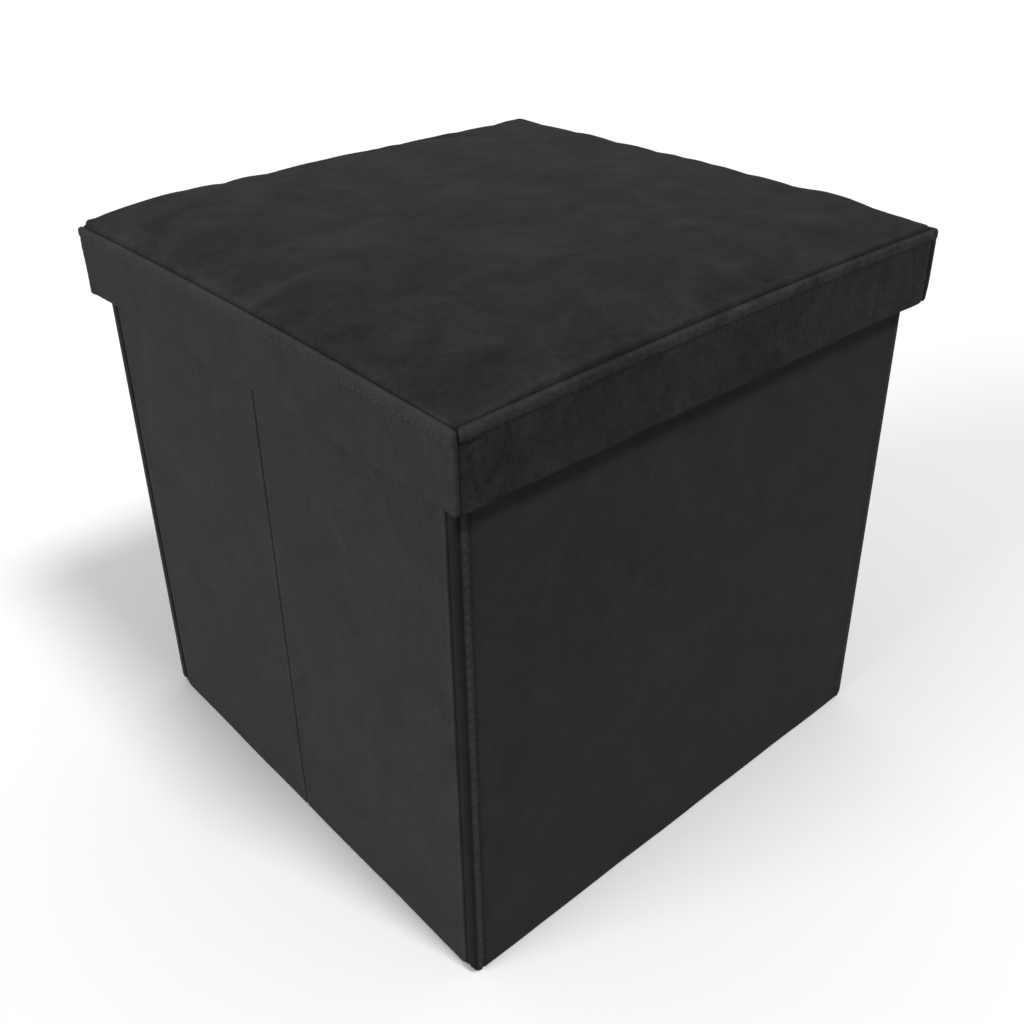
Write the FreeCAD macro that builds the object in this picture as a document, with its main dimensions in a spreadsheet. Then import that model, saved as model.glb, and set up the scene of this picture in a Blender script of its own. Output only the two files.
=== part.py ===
# Folding storage ottoman with a padded lift-off lid.
#
# Six stiffened fabric panels stand in a square: a whole front panel, a whole back panel, and two
# side walls that are each split into a front half and a rear half.  The halves fold inwards about
# sewn corner seams and a sewn crease, so that the back panel closes on the front panel.  A hinged
# base plate flips up against the front panel.  The lid is a padded board with a stiffened skirt.
#
# Frame: origin on the floor at the middle of the ottoman, +Z up, front panel towards -Y.
# Units: millimetres.
import FreeCAD, Part
import os
import Sketcher

DIMENSIONS = [
    ("lid_width", 380, "outside width of the lid, along X"),
    ("lid_depth", 380, "outside depth of the lid, along Y"),
    ("total_height", 380, "floor to the middle of the crowned top"),
    ("crown_rise", 13, "middle of the top above its corners"),
    ("skirt_height", 45, "corner of the top down to the lower edge of the skirt"),
    ("lid_overlap", 24, "how far the skirt reaches down over the walls"),
    ("skirt_board_thick", 2, "stiffener inside the skirt"),
    ("skirt_board_short", 4, "stiffener short of each corner, which leaves the corner soft"),
    ("seam_allowance", 8, "folded velvet above the stiffener, below the seam"),
    ("skirt_lining_thick", 0.8, "cloth on the inside of the skirt"),
    ("skirt_round", 2, "rounding of the upright corners of the lid"),
    ("lid_board_thick", 5, "board that carries the sitter"),
    ("lid_lining_thick", 0.6, "cloth under the lid board"),
    ("wall_width", 364, "outside width of the walls, along X"),
    ("wall_depth", 358, "outside depth of the walls, along Y"),
    ("board_thick", 4, "stiffener inside each wall panel"),
    ("cover_thick", 1.2, "velvet"),
    ("lining_thick", 0.6, "cloth on the inside of the walls"),
    ("corner_round", 6, "upper corners of the panels"),
    ("hem_round", 4, "lower corners of the hems"),
    ("edge_round", 1, "rounding of the velvet edges"),
    ("edge_wall", 0.2, "velvet left behind a rounded edge"),
    ("crease_gap", 2.4, "between the two halves of a side wall"),
    ("crease_offset", 0.3, "crease axis outside the side wall's face"),
    ("crease_radius", 0.9, "sewn bead of the crease"),
    ("seam_radius", 1.5, "sewn bead of the corner seams"),
    ("run_gap", 0.3, "clearance between pieces that move past each other"),
    ("bottom_lift", 0.2, "bottom cloth above the floor"),
    ("bottom_cloth_thick", 0.6, "cloth that closes the bottom"),
    ("lay_gap", 0.1, "between the bottom cloth and the base plate"),
    ("base_board_thick", 2.5, "board inside the base plate"),
    ("base_cloth_thick", 0.4, "cloth on each face of the base plate"),
    ("base_seam_radius", 1.2, "sewn bead that hinges the base plate"),
    ("base_end_gap", 3, "free edge of the base plate to the back panel"),
    ("ribbon_width", 14, "pull ribbon of the base plate"),
    ("ribbon_thick", 0.5, "ribbon on the upper face of the base plate"),
    ("ribbon_length", 35, "ribbon along the base plate"),
]

doc = FreeCAD.newDocument("folding_ottoman")
sheet = doc.addObject("Spreadsheet::Sheet", "dims")
for row, (alias, value, meaning) in enumerate(DIMENSIONS, start=1):
    sheet.set(f"A{row}", alias)
    sheet.set(f"B{row}", str(value))
    sheet.set(f"C{row}", meaning)
    sheet.setAlias(f"B{row}", alias)
doc.recompute()

# Lengths that follow from the sheet, as expressions.
PANEL = "(dims.cover_thick + dims.board_thick + dims.lining_thick)"
SKIRT = "(dims.cover_thick + dims.skirt_board_thick)"
BASE = "(dims.base_board_thick + 2 * dims.base_cloth_thick)"
BASE_LOW = "(dims.bottom_lift + dims.bottom_cloth_thick + dims.lay_gap)"
# The boards fold in over the base plate and its ribbon.
HEM_TOP = f"({BASE_LOW} + {BASE} + dims.ribbon_thick + dims.run_gap)"
SEAM_TOP = "(dims.total_height - dims.crown_rise)"
SKIRT_LOW = f"({SEAM_TOP} - dims.skirt_height)"
WALL_TOP = f"({SKIRT_LOW} + dims.lid_overlap)"
LID_UNDER = f"({WALL_TOP} + dims.run_gap)"
LID_BOARD_LOW = f"({LID_UNDER} + dims.lid_lining_thick)"
LID_BOARD_TOP = f"({LID_BOARD_LOW} + dims.lid_board_thick)"
HALF_X = "(dims.wall_width / 2)"
HALF_Y = "(dims.wall_depth / 2)"
LID_X = "(dims.lid_width / 2)"
LID_Y = "(dims.lid_depth / 2)"
# The upright base plate, with its ribbon, has to fit between the front panel and a folded half.
WEB = f"({BASE} + dims.ribbon_thick + 2 * dims.run_gap)"
SEAM_X = f"({HALF_X} - {PANEL})"
SEAM_Y = f"({HALF_Y} - {PANEL} - {WEB})"
HALF_END = f"({HALF_Y} - {PANEL} - 2 * {WEB})"
TONGUE_END = f"({SEAM_Y} - dims.seam_radius - dims.run_gap)"
INNER_ROUND = "(dims.corner_round - dims.cover_thick)"
EDGE_ROUND = "min(dims.edge_round; dims.cover_thick - dims.edge_wall)"
CREASE_END = "(dims.crease_gap / 2)"
BASE_AXIS_Y = f"(-{HALF_Y} + {PANEL} + dims.run_gap + dims.ribbon_thick + {BASE} / 2)"
BASE_AXIS_Z = f"({BASE_LOW} + {BASE} / 2)"
BASE_X = f"({SEAM_X} - dims.seam_radius - dims.run_gap)"
BASE_NEAR = f"({BASE_AXIS_Y} + dims.base_seam_radius + dims.run_gap)"
BASE_FAR = f"({HALF_Y} - {PANEL} - dims.base_end_gap)"
LID_CORNER_SQUARED = f"(pow({LID_X}; 2) + pow({LID_Y}; 2))"
# The crowned top is part of a ball that passes through the lid's four upper corners.
CROWN_RADIUS = f"({LID_CORNER_SQUARED} / (2 * dims.crown_rise) + dims.crown_rise / 2)"

# Which way each upright face looks, as a turn about Z from the front.
FACES = {"front": 0, "right": 90, "back": 180, "left": -90}
NODES = []


def neg(expression):
    return f"-({expression})"


def mirrored(sign, near, far):
    """The range from near to far on the positive side, or its mirror image."""
    return (near, far) if sign > 0 else (neg(far), neg(near))


def keep(obj):
    """Marks an object as a sub-part to write out."""
    NODES.append(obj)
    return obj


def new_body(label):
    body = doc.addObject("PartDesign::Body", label)
    body.Label = label
    return body


def rectangle(body, name, x_range, y_range, level="0"):
    """A constrained rectangle on the body's XY plane, raised to level."""
    sketch = body.newObject("Sketcher::SketchObject", name)
    plane = next(f for f in body.Origin.OriginFeatures if f.Role == "XY_Plane")
    sketch.AttachmentSupport = [(plane, "")]
    sketch.MapMode = "FlatFace"
    sketch.setExpression("AttachmentOffset.Base.z", level)
    corners = [(-1, -1), (1, -1), (1, 1), (-1, 1)]
    points = [FreeCAD.Vector(x, y, 0) for x, y in corners]
    for i in range(4):
        sketch.addGeometry(Part.LineSegment(points[i], points[(i + 1) % 4]), False)
    for i in range(4):
        sketch.addConstraint(Sketcher.Constraint("Coincident", i, 2, (i + 1) % 4, 1))
    for i, way in enumerate(("Horizontal", "Vertical", "Horizontal", "Vertical")):
        sketch.addConstraint(Sketcher.Constraint(way, i))
    origin = (-1, 1)
    for label, way, line, at in (
        ("left", "DistanceX", 0, x_range[0]),
        ("low", "DistanceY", 0, y_range[0]),
        ("right", "DistanceX", 2, x_range[1]),
        ("high", "DistanceY", 2, y_range[1]),
    ):
        start = points[line]
        value = start.x if way == "DistanceX" else start.y
        index = sketch.addConstraint(Sketcher.Constraint(way, *origin, line, 1, value))
        sketch.renameConstraint(index, label)
        sketch.setExpression(f"Constraints.{label}", at)
    return sketch


def pad(body, sketch, length):
    feature = body.newObject("PartDesign::Pad", f"{body.Label}_pad")
    feature.Profile = sketch
    feature.setExpression("Length", length)
    doc.recompute()
    return feature


def pocket(body, sketch, depth):
    """Cuts from the sketch towards +Z."""
    feature = body.newObject("PartDesign::Pocket", f"{body.Label}_pocket")
    feature.Profile = sketch
    feature.Reversed = True
    before = body.Shape.Volume
    feature.setExpression("Length", depth)
    doc.recompute()
    if body.Shape.Volume >= before:
        raise RuntimeError(f"{body.Label}: its pocket cuts nothing")
    return feature


def round_edges(body, name, radius, test):
    """Fillets the edges of the body's tip for which test(edge) holds."""
    tip = body.Tip
    names = [f"Edge{i}" for i, e in enumerate(tip.Shape.Edges, start=1) if test(e)]
    feature = body.newObject("PartDesign::Fillet", f"{body.Label}_{name}")
    feature.Base = (tip, names)
    feature.setExpression("Radius", radius)
    doc.recompute()
    return feature


def runs_through(edge):
    """An edge along the body's Z, such as a corner of a padded outline."""
    box = edge.BoundBox
    return box.ZLength > 1e-6 and box.XLength < 1e-6 and box.YLength < 1e-6


def round_corners(body, name, radius, upper):
    """Rounds the two upper or the two lower corners of the body's outline."""
    box = body.Tip.Shape.BoundBox
    y_edge = box.YMax if upper else box.YMin

    def at_corner(edge):
        middle = edge.BoundBox.Center
        on_side = min(abs(middle.x - box.XMin), abs(middle.x - box.XMax)) < 1e-6
        return runs_through(edge) and on_side and abs(middle.y - y_edge) < 1e-6

    round_edges(body, name, radius, at_corner)


def round_face(body, radius, keep_upper=False, keep_lower=False):
    """Rounds the rim of the outward face, apart from a side where another piece meets it."""
    box = body.Tip.Shape.BoundBox

    def on_rim(edge):
        e = edge.BoundBox
        if e.ZLength > 1e-6 or abs(e.ZMax - box.ZMax) > 1e-6:
            return False
        if keep_lower and abs(e.YMax - box.YMin) < 1e-6:
            return False
        return not (keep_upper and abs(e.YMin - box.YMax) < 1e-6)

    round_edges(body, "rim", radius, on_rim)


def stand(obj, face, inset):
    """Stands a piece up: its X along the face, its Y up, its Z outwards from inset off the middle."""
    turn = FreeCAD.Rotation(FreeCAD.Vector(0, 0, 1), FACES[face])
    upright = FreeCAD.Rotation(FreeCAD.Vector(1, 0, 0), 90)
    obj.Placement = FreeCAD.Placement(FreeCAD.Vector(), turn.multiply(upright))
    axis = "y" if face in ("front", "back") else "x"
    sign = "-" if face in ("front", "left") else ""
    obj.setExpression(f"Placement.Base.{axis}", f"{sign}({inset})")


def block(label, x_range, y_range, z_range):
    """A Part::Box from its ranges."""
    box = doc.addObject("Part::Box", label)
    box.Label = label
    sizes = (("Length", "x", x_range), ("Width", "y", y_range), ("Height", "z", z_range))
    for size, axis, (low, high) in sizes:
        box.setExpression(size, f"({high}) - ({low})")
        box.setExpression(f"Placement.Base.{axis}", low)
    return box


def both_ways(half):
    return neg(half), half


def combine(kind, label, first, second):
    """A Part boolean of two objects: Cut, Fuse or Common."""
    result = doc.addObject(f"Part::{kind}", label)
    result.Label = label
    result.Base = first
    result.Tool = second
    return result


# --- wall panels -----------------------------------------------------------------------------


def panel_cover(name, face, x_range, inset):
    """Velvet over the outward face and the edges of a board, open towards the inside."""
    body = new_body(f"{name}_cover")
    outline = rectangle(body, "outline", x_range, (HEM_TOP, WALL_TOP), "dims.lining_thick")
    pad(body, outline, "dims.board_thick + dims.cover_thick")
    inner_x = (f"({x_range[0]}) + dims.cover_thick", f"({x_range[1]}) - dims.cover_thick")
    inner_y = (f"{HEM_TOP} + dims.cover_thick", f"{WALL_TOP} - dims.cover_thick")
    hollow = rectangle(body, "hollow", inner_x, inner_y, "dims.lining_thick")
    pocket(body, hollow, "dims.board_thick")
    middle = body.Shape.BoundBox.Center.y
    depth = body.Shape.BoundBox.ZLength

    def at_hollow_corner(edge):
        box = edge.BoundBox
        return runs_through(edge) and box.ZLength < depth - 1e-6 and box.YMin > middle

    round_edges(body, "hollow_corners", INNER_ROUND, at_hollow_corner)
    round_corners(body, "corners", "dims.corner_round", upper=True)
    round_face(body, EDGE_ROUND, keep_lower=True)
    stand(body, face, inset)
    return keep(body)


def panel_board(name, face, x_range, inset):
    """The stiff board that fills a cover."""
    body = new_body(f"{name}_board")
    inner_x = (f"({x_range[0]}) + dims.cover_thick", f"({x_range[1]}) - dims.cover_thick")
    inner_y = (f"{HEM_TOP} + dims.cover_thick", f"{WALL_TOP} - dims.cover_thick")
    pad(body, rectangle(body, "outline", inner_x, inner_y, "dims.lining_thick"), "dims.board_thick")
    round_corners(body, "corners", INNER_ROUND, upper=True)
    stand(body, face, inset)
    return keep(body)


def panel_lining(name, face, x_range, inset):
    """Thin cloth over the inside of a panel; on a half it reaches on to the corner seam."""
    body = new_body(f"{name}_lining")
    pad(body, rectangle(body, "outline", x_range, (HEM_TOP, WALL_TOP)), "dims.lining_thick")
    round_corners(body, "corners", "dims.corner_round", upper=True)
    stand(body, face, inset)
    return keep(body)


def panel_hem(name, face, x_range, inset):
    """The sewn lower edge of a panel, with no board in it, which stands on the floor."""
    body = new_body(f"{name}_hem")
    pad(body, rectangle(body, "outline", x_range, ("0", HEM_TOP)), PANEL)
    round_corners(body, "corners", "dims.hem_round", upper=False)
    round_face(body, EDGE_ROUND, keep_upper=True)
    stand(body, face, inset)
    return keep(body)


def panel(name, face, x_range, lining_range=None):
    inset = SEAM_X if face in ("left", "right") else f"{HALF_Y} - {PANEL}"
    panel_cover(name, face, x_range, inset)
    panel_board(name, face, x_range, inset)
    panel_lining(name, face, lining_range or x_range, inset)
    panel_hem(name, face, x_range, inset)


def walls():
    for face in ("front", "back"):
        panel(face, face, both_ways(HALF_X))
    for face, front_sign in (("left", 1), ("right", -1)):
        for half, sign in (("front", front_sign), ("rear", -front_sign)):
            panel(
                f"{face}_{half}",
                face,
                mirrored(sign, CREASE_END, HALF_END),
                mirrored(sign, CREASE_END, TONGUE_END),
            )


# --- sewn seams that act as hinges -----------------------------------------------------------


def upright_bead(label, x, y, radius):
    bead = doc.addObject("Part::Cylinder", label)
    bead.setExpression("Radius", radius)
    bead.setExpression("Height", f"{WALL_TOP} - {HEM_TOP} - dims.corner_round")
    bead.setExpression("Placement.Base.x", x)
    bead.setExpression("Placement.Base.y", y)
    bead.setExpression("Placement.Base.z", HEM_TOP)
    return bead


def corner_seam(side, end, x_sign, y_sign):
    """Bead on a corner's fold axis, with its web to the whole panel."""
    x = SEAM_X if x_sign > 0 else neg(SEAM_X)
    y = SEAM_Y if y_sign > 0 else neg(SEAM_Y)
    label = f"{end}_{side}_corner_seam"
    bead = upright_bead(f"{label}_bead", x, y, "dims.seam_radius")
    web = block(
        f"{label}_web",
        mirrored(x_sign, SEAM_X, f"{SEAM_X} + dims.lining_thick"),
        mirrored(y_sign, SEAM_Y, f"{SEAM_Y} + {WEB}"),
        (HEM_TOP, f"{WALL_TOP} - dims.corner_round"),
    )
    keep(combine("Fuse", label, bead, web))


def crease_seam(side, x_sign):
    """Bead on a side wall's crease axis, just outside its face, with its web to the front half."""
    x = f"{HALF_X} + dims.crease_offset"
    label = f"{side}_crease_seam"
    bead = upright_bead(f"{label}_bead", x if x_sign > 0 else neg(x), "0", "dims.crease_radius")
    web = block(
        f"{label}_web",
        mirrored(x_sign, f"{HALF_X} - dims.edge_round - dims.lining_thick", HALF_X),
        (neg(CREASE_END), "0"),
        (HEM_TOP, f"{WALL_TOP} - dims.corner_round"),
    )
    keep(combine("Fuse", label, bead, web))


def seams():
    for side, x_sign in (("left", -1), ("right", 1)):
        for end, y_sign in (("front", -1), ("back", 1)):
            corner_seam(side, end, x_sign, y_sign)
        crease_seam(side, x_sign)


# --- base plate and bottom cloth -------------------------------------------------------------


def base_plate():
    """A cloth-covered board, hinged along the foot of the front panel, with a ribbon to lift it."""
    top = new_body("base_top_cloth")
    x_range, y_range = both_ways(BASE_X), (BASE_NEAR, BASE_FAR)
    board_z = f"{BASE_LOW} + dims.base_cloth_thick"
    pad(top, rectangle(top, "outline", x_range, y_range, board_z), f"{BASE} - dims.base_cloth_thick")
    inner_x = both_ways(f"{BASE_X} - dims.base_cloth_thick")
    inner_y = (f"{BASE_NEAR} + dims.base_cloth_thick", f"{BASE_FAR} - dims.base_cloth_thick")
    pocket(top, rectangle(top, "hollow", inner_x, inner_y, board_z), "dims.base_board_thick")
    keep(top)

    board = new_body("base_board")
    pad(board, rectangle(board, "outline", inner_x, inner_y, board_z), "dims.base_board_thick")
    keep(board)

    under = new_body("base_under_cloth")
    pad(under, rectangle(under, "outline", x_range, y_range, BASE_LOW), "dims.base_cloth_thick")
    keep(under)

    ribbon = new_body("base_pull_ribbon")
    along = (f"{BASE_FAR} - dims.ribbon_length", BASE_FAR)
    across = both_ways("dims.ribbon_width / 2")
    ribbon_low = f"{BASE_LOW} + {BASE}"
    pad(ribbon, rectangle(ribbon, "outline", across, along, ribbon_low), "dims.ribbon_thick")
    keep(ribbon)


def base_seam():
    """The sewn bead along the foot of the front panel that the base plate turns about."""
    bead = doc.addObject("Part::Cylinder", "base_seam_bead")
    bead.setExpression("Radius", "dims.base_seam_radius")
    bead.setExpression("Height", f"2 * {BASE_X}")
    bead.Placement.Rotation = FreeCAD.Rotation(FreeCAD.Vector(0, 1, 0), 90)
    bead.setExpression("Placement.Base.x", neg(BASE_X))
    bead.setExpression("Placement.Base.y", BASE_AXIS_Y)
    bead.setExpression("Placement.Base.z", BASE_AXIS_Z)
    web_half = "dims.lining_thick / 2"
    web = block(
        "base_seam_web",
        both_ways(BASE_X),
        (f"-{HALF_Y} + {PANEL}", BASE_AXIS_Y),
        (f"{BASE_AXIS_Z} - {web_half}", f"{BASE_AXIS_Z} + {web_half}"),
    )
    keep(combine("Fuse", "base_seam", bead, web))


def bottom_cloth():
    """The cloth sewn across the bottom, between the hems."""
    cloth = new_body("bottom_cloth")
    x_range = both_ways(f"{SEAM_X} - dims.run_gap")
    y_range = (f"-{HALF_Y} + {PANEL}", f"{HALF_Y} - {PANEL} - dims.run_gap")
    outline = rectangle(cloth, "outline", x_range, y_range, "dims.bottom_lift")
    pad(cloth, outline, "dims.bottom_cloth_thick")
    keep(cloth)


# --- lid -------------------------------------------------------------------------------------


def crown_ball(label, radius):
    """A large ball whose top is the crowned surface; its poles lie far out along Y."""
    ball = doc.addObject("Part::Sphere", label)
    ball.setExpression("Radius", radius)
    ball.Placement.Rotation = FreeCAD.Rotation(FreeCAD.Vector(1, 0, 0), 90)
    ball.setExpression("Placement.Base.z", f"dims.total_height - {CROWN_RADIUS}")
    return ball


SKIRT_BOARD_HEIGHTS = (f"{SKIRT_LOW} + dims.cover_thick", f"{SEAM_TOP} - dims.seam_allowance")


def skirt_board_range(half_length):
    return both_ways(f"{half_length} - dims.skirt_board_short")


def skirt_cover(face, half_length, wraps_ends, crown_inner):
    """Velvet round a skirt board, folded double above it and trimmed to the crown."""
    body = new_body(f"lid_skirt_{face}_blank")
    x_range = both_ways(half_length)
    blank = rectangle(body, "outline", x_range, (SKIRT_LOW, "dims.total_height"))
    pad(body, blank, SKIRT)
    if wraps_ends:
        round_edges(body, "corners", "dims.skirt_round", lambda e: is_upright_outer(body, e))
    hollow = rectangle(body, "hollow", skirt_board_range(half_length), SKIRT_BOARD_HEIGHTS)
    pocket(body, hollow, "dims.skirt_board_thick")
    outer = LID_Y if face in ("front", "back") else LID_X
    stand(body, face, f"{outer} - {SKIRT}")
    keep(combine("Common", f"lid_skirt_{face}", body, crown_inner))


def is_upright_outer(body, edge):
    """One of the two upright edges at the ends of the outward face."""
    box, e = body.Tip.Shape.BoundBox, edge.BoundBox
    at_end = min(abs(e.XMin - box.XMin), abs(e.XMax - box.XMax)) < 1e-6
    return e.YLength > 1e-6 and at_end and e.XLength < 1e-6 and abs(e.ZMin - box.ZMax) < 1e-6


def skirt_board(face, half_length):
    body = new_body(f"lid_skirt_board_{face}")
    outline = rectangle(body, "outline", skirt_board_range(half_length), SKIRT_BOARD_HEIGHTS)
    pad(body, outline, "dims.skirt_board_thick")
    outer = LID_Y if face in ("front", "back") else LID_X
    stand(body, face, f"{outer} - {SKIRT}")
    keep(body)


def skirt_lining(face, half_length):
    body = new_body(f"lid_skirt_lining_{face}")
    y_range = (SKIRT_LOW, LID_UNDER)
    pad(body, rectangle(body, "outline", both_ways(half_length), y_range), "dims.skirt_lining_thick")
    outer = LID_Y if face in ("front", "back") else LID_X
    stand(body, face, f"{outer} - {SKIRT} - dims.skirt_lining_thick")
    keep(body)


def lid():
    crown_outer = crown_ball("crown_outer", CROWN_RADIUS)
    crown_inner = crown_ball("crown_inner", f"{CROWN_RADIUS} - dims.cover_thick")

    blank = new_body("lid_top_blank")
    outline = rectangle(blank, "outline", both_ways(LID_X), both_ways(LID_Y), SKIRT_LOW)
    pad(blank, outline, f"dims.total_height - {SKIRT_LOW} + dims.cover_thick")
    round_edges(blank, "corners", "dims.skirt_round", runs_through)
    dome = combine("Common", "lid_top_dome", blank, crown_outer)
    keep(combine("Cut", "lid_top_cover", dome, crown_inner))

    inner_x, inner_y = f"{LID_X} - {SKIRT}", f"{LID_Y} - {SKIRT}"
    foam_block = block(
        "lid_foam_block",
        both_ways(inner_x),
        both_ways(inner_y),
        (LID_BOARD_TOP, "dims.total_height"),
    )
    keep(combine("Common", "lid_foam", foam_block, crown_inner))
    keep(
        block(
            "lid_board",
            both_ways(f"{inner_x} - dims.run_gap"),
            both_ways(f"{inner_y} - dims.run_gap"),
            (LID_BOARD_LOW, LID_BOARD_TOP),
        )
    )
    keep(
        block(
            "lid_lining",
            both_ways(inner_x),
            both_ways(inner_y),
            (LID_UNDER, LID_BOARD_LOW),
        )
    )
    for face in ("front", "back"):
        skirt_cover(face, LID_X, True, crown_inner)
        skirt_board(face, LID_X)
        skirt_lining(face, inner_x)
    for face in ("left", "right"):
        skirt_cover(face, inner_y, False, crown_inner)
        skirt_board(face, inner_y)
        skirt_lining(face, f"{inner_y} - dims.skirt_lining_thick")


def write_parts():
    """Checks every object and every sub-part, then writes one STEP file for each sub-part."""
    for obj in doc.Objects:
        if {"Invalid", "Error"} & set(obj.State):
            raise RuntimeError(f"{obj.Label} failed to compute: {obj.State}")
    for node in NODES:
        if node.Shape.isNull() or not node.Shape.isValid() or not node.Shape.Solids:
            raise RuntimeError(f"{node.Label} has no valid solid")
    os.makedirs("parts", exist_ok=True)
    for node in NODES:
        node.Shape.exportStep(f"parts/{node.Label}.step")


walls()
seams()
base_plate()
base_seam()
bottom_cloth()
lid()
doc.recompute()
write_parts()
print(f"{len(NODES)} sub-parts")
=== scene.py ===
import math

import bpy
import numpy as np
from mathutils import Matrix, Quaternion, Vector


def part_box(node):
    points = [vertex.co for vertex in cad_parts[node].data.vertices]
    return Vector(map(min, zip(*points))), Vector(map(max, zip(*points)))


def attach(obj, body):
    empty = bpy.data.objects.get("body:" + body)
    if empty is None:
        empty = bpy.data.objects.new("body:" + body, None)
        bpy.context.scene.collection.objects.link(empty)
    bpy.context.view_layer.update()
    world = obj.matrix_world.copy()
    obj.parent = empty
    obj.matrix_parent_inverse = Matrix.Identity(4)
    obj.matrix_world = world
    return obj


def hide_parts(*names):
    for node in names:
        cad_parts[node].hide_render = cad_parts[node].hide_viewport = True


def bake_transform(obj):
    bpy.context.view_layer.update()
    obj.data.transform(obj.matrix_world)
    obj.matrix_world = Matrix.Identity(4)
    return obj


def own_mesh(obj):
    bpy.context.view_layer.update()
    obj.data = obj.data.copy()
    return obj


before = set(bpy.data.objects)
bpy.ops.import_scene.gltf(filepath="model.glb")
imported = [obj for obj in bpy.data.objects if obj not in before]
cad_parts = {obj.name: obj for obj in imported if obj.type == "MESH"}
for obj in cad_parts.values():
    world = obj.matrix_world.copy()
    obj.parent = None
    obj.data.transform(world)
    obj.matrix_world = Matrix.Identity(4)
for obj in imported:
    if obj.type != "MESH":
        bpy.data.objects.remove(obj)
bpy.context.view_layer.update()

MM = 0.001
TAU = math.tau
UP = Vector((0, 0, 1))

# Each side of the object: the direction along it, seen from outside, and the direction out of it.
SIDES = {
    "front": (Vector((1, 0, 0)), Vector((0, -1, 0))),
    "right": (Vector((0, 1, 0)), Vector((1, 0, 0))),
    "back": (Vector((-1, 0, 0)), Vector((0, 1, 0))),
    "left": (Vector((0, -1, 0)), Vector((-1, 0, 0))),
}

# Each wall panel: its side and the body that it rides on.
PANELS = {
    "front": ("front", "front_panel"),
    "back": ("back", "back_panel"),
    "left_front": ("left", "left_front_half"),
    "left_rear": ("left", "left_rear_half"),
    "right_front": ("right", "right_front_half"),
    "right_rear": ("right", "right_rear_half"),
}

CLOTH = 0.5 * MM  # velvet and its backing, pulled tight
LINING = 0.4 * MM
TURN = 12 * MM  # how far the velvet turns in behind a panel
STITCH_PITCH = 4.5 * MM
STITCH_LENGTH = 3.4 * MM
THREAD = 0.42 * MM
ROW = 60  # points along a row of stitches
TINY = 1e-7
# A point attribute that scales the velvet's colour: 1 as cut, less where shade is painted into grooves,
# recesses and crevices, more where highlights are painted on ridges and rolled edges.
PAINTED_LIGHT_ATTRIBUTE = "painted_light"


# ---------------------------------------------------------------- materials


def coordinates(tree, stretch=(1, 1, 1)):
    """The surface's own coordinates in metres, stretched along each axis."""
    source = tree.nodes.new("ShaderNodeTexCoord")
    mapping = tree.nodes.new("ShaderNodeMapping")
    mapping.inputs["Scale"].default_value = stretch
    tree.links.new(source.outputs["Object"], mapping.inputs["Vector"])
    return mapping.outputs["Vector"]


def turned(tree, vector, rotation):
    """Coordinates turned by angles in radians."""
    mapping = tree.nodes.new("ShaderNodeMapping")
    mapping.inputs["Rotation"].default_value = rotation
    tree.links.new(vector, mapping.inputs["Vector"])
    return mapping.outputs["Vector"]


def begin(name):
    """A new material with its node tree, its shader and the surface's plain coordinates."""
    material = bpy.data.materials.new(name)
    material.use_nodes = True
    tree = material.node_tree
    return material, tree, tree.nodes["Principled BSDF"], coordinates(tree)


def noise(tree, vector, size, detail=3, distortion=0.0, roughness=0.55):
    """Noise whose blotches are about size metres across."""
    node = tree.nodes.new("ShaderNodeTexNoise")
    node.inputs["Scale"].default_value = 1 / size
    node.inputs["Detail"].default_value = detail
    node.inputs["Distortion"].default_value = distortion
    node.inputs["Roughness"].default_value = roughness
    tree.links.new(vector, node.inputs["Vector"])
    return node.outputs["Fac"]


def waves(tree, vector, size, direction="X", distortion=0.0):
    """Parallel ribs, size metres apart."""
    node = tree.nodes.new("ShaderNodeTexWave")
    node.bands_direction = direction
    node.inputs["Scale"].default_value = TAU / (20 * size)
    node.inputs["Distortion"].default_value = distortion
    tree.links.new(vector, node.inputs["Vector"])
    return node.outputs["Fac"]


def weighted(tree, *terms):
    """The sum of (output, weight) terms."""
    total = None
    for output, weight in terms:
        node = tree.nodes.new("ShaderNodeMath")
        node.operation = "MULTIPLY_ADD"
        tree.links.new(output, node.inputs[0])
        node.inputs[1].default_value = weight
        if total is None:
            node.inputs[2].default_value = 0
        else:
            tree.links.new(total, node.inputs[2])
        total = node.outputs[0]
    return total


def ramp(tree, value, *stops):
    """Colours by value: stops are (position, colour)."""
    node = tree.nodes.new("ShaderNodeValToRGB")
    elements = node.color_ramp.elements
    while len(elements) < len(stops):
        elements.new(0.5)
    for element, (position, colour) in zip(elements, stops):
        element.position = position
        element.color = (*colour, 1)
    tree.links.new(value, node.inputs["Fac"])
    return node.outputs["Color"]


def bump(tree, shader, *layers):
    """Bump from (height output, strength, distance) layers, one on the other."""
    below = None
    for height, strength, distance in layers:
        node = tree.nodes.new("ShaderNodeBump")
        node.inputs["Strength"].default_value = strength
        node.inputs["Distance"].default_value = distance
        tree.links.new(height, node.inputs["Height"])
        if below is not None:
            tree.links.new(below, node.inputs["Normal"])
        below = node.outputs["Normal"]
    tree.links.new(below, shader.inputs["Normal"])


def finish(shader, roughness, specular=None, sheen=None):
    """A shader's roughness, and where given its specular level and its sheen."""
    shader.inputs["Roughness"].default_value = roughness
    if specular is not None:
        shader.inputs["Specular IOR Level"].default_value = specular
    if sheen is not None:
        shader.inputs["Sheen Weight"].default_value = sheen


def paint(tree, shader, mix, base, dark, light, middle=None):
    """Colours a shader by mix: dark and light are (position, share of the base), the base lies at middle."""
    stops = [(place, tuple(c * share for c in base)) for place, share in (dark, light)]
    if middle is not None:
        stops.insert(1, (middle, base))
    tree.links.new(ramp(tree, mix, *stops), shader.inputs["Base Color"])


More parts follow.
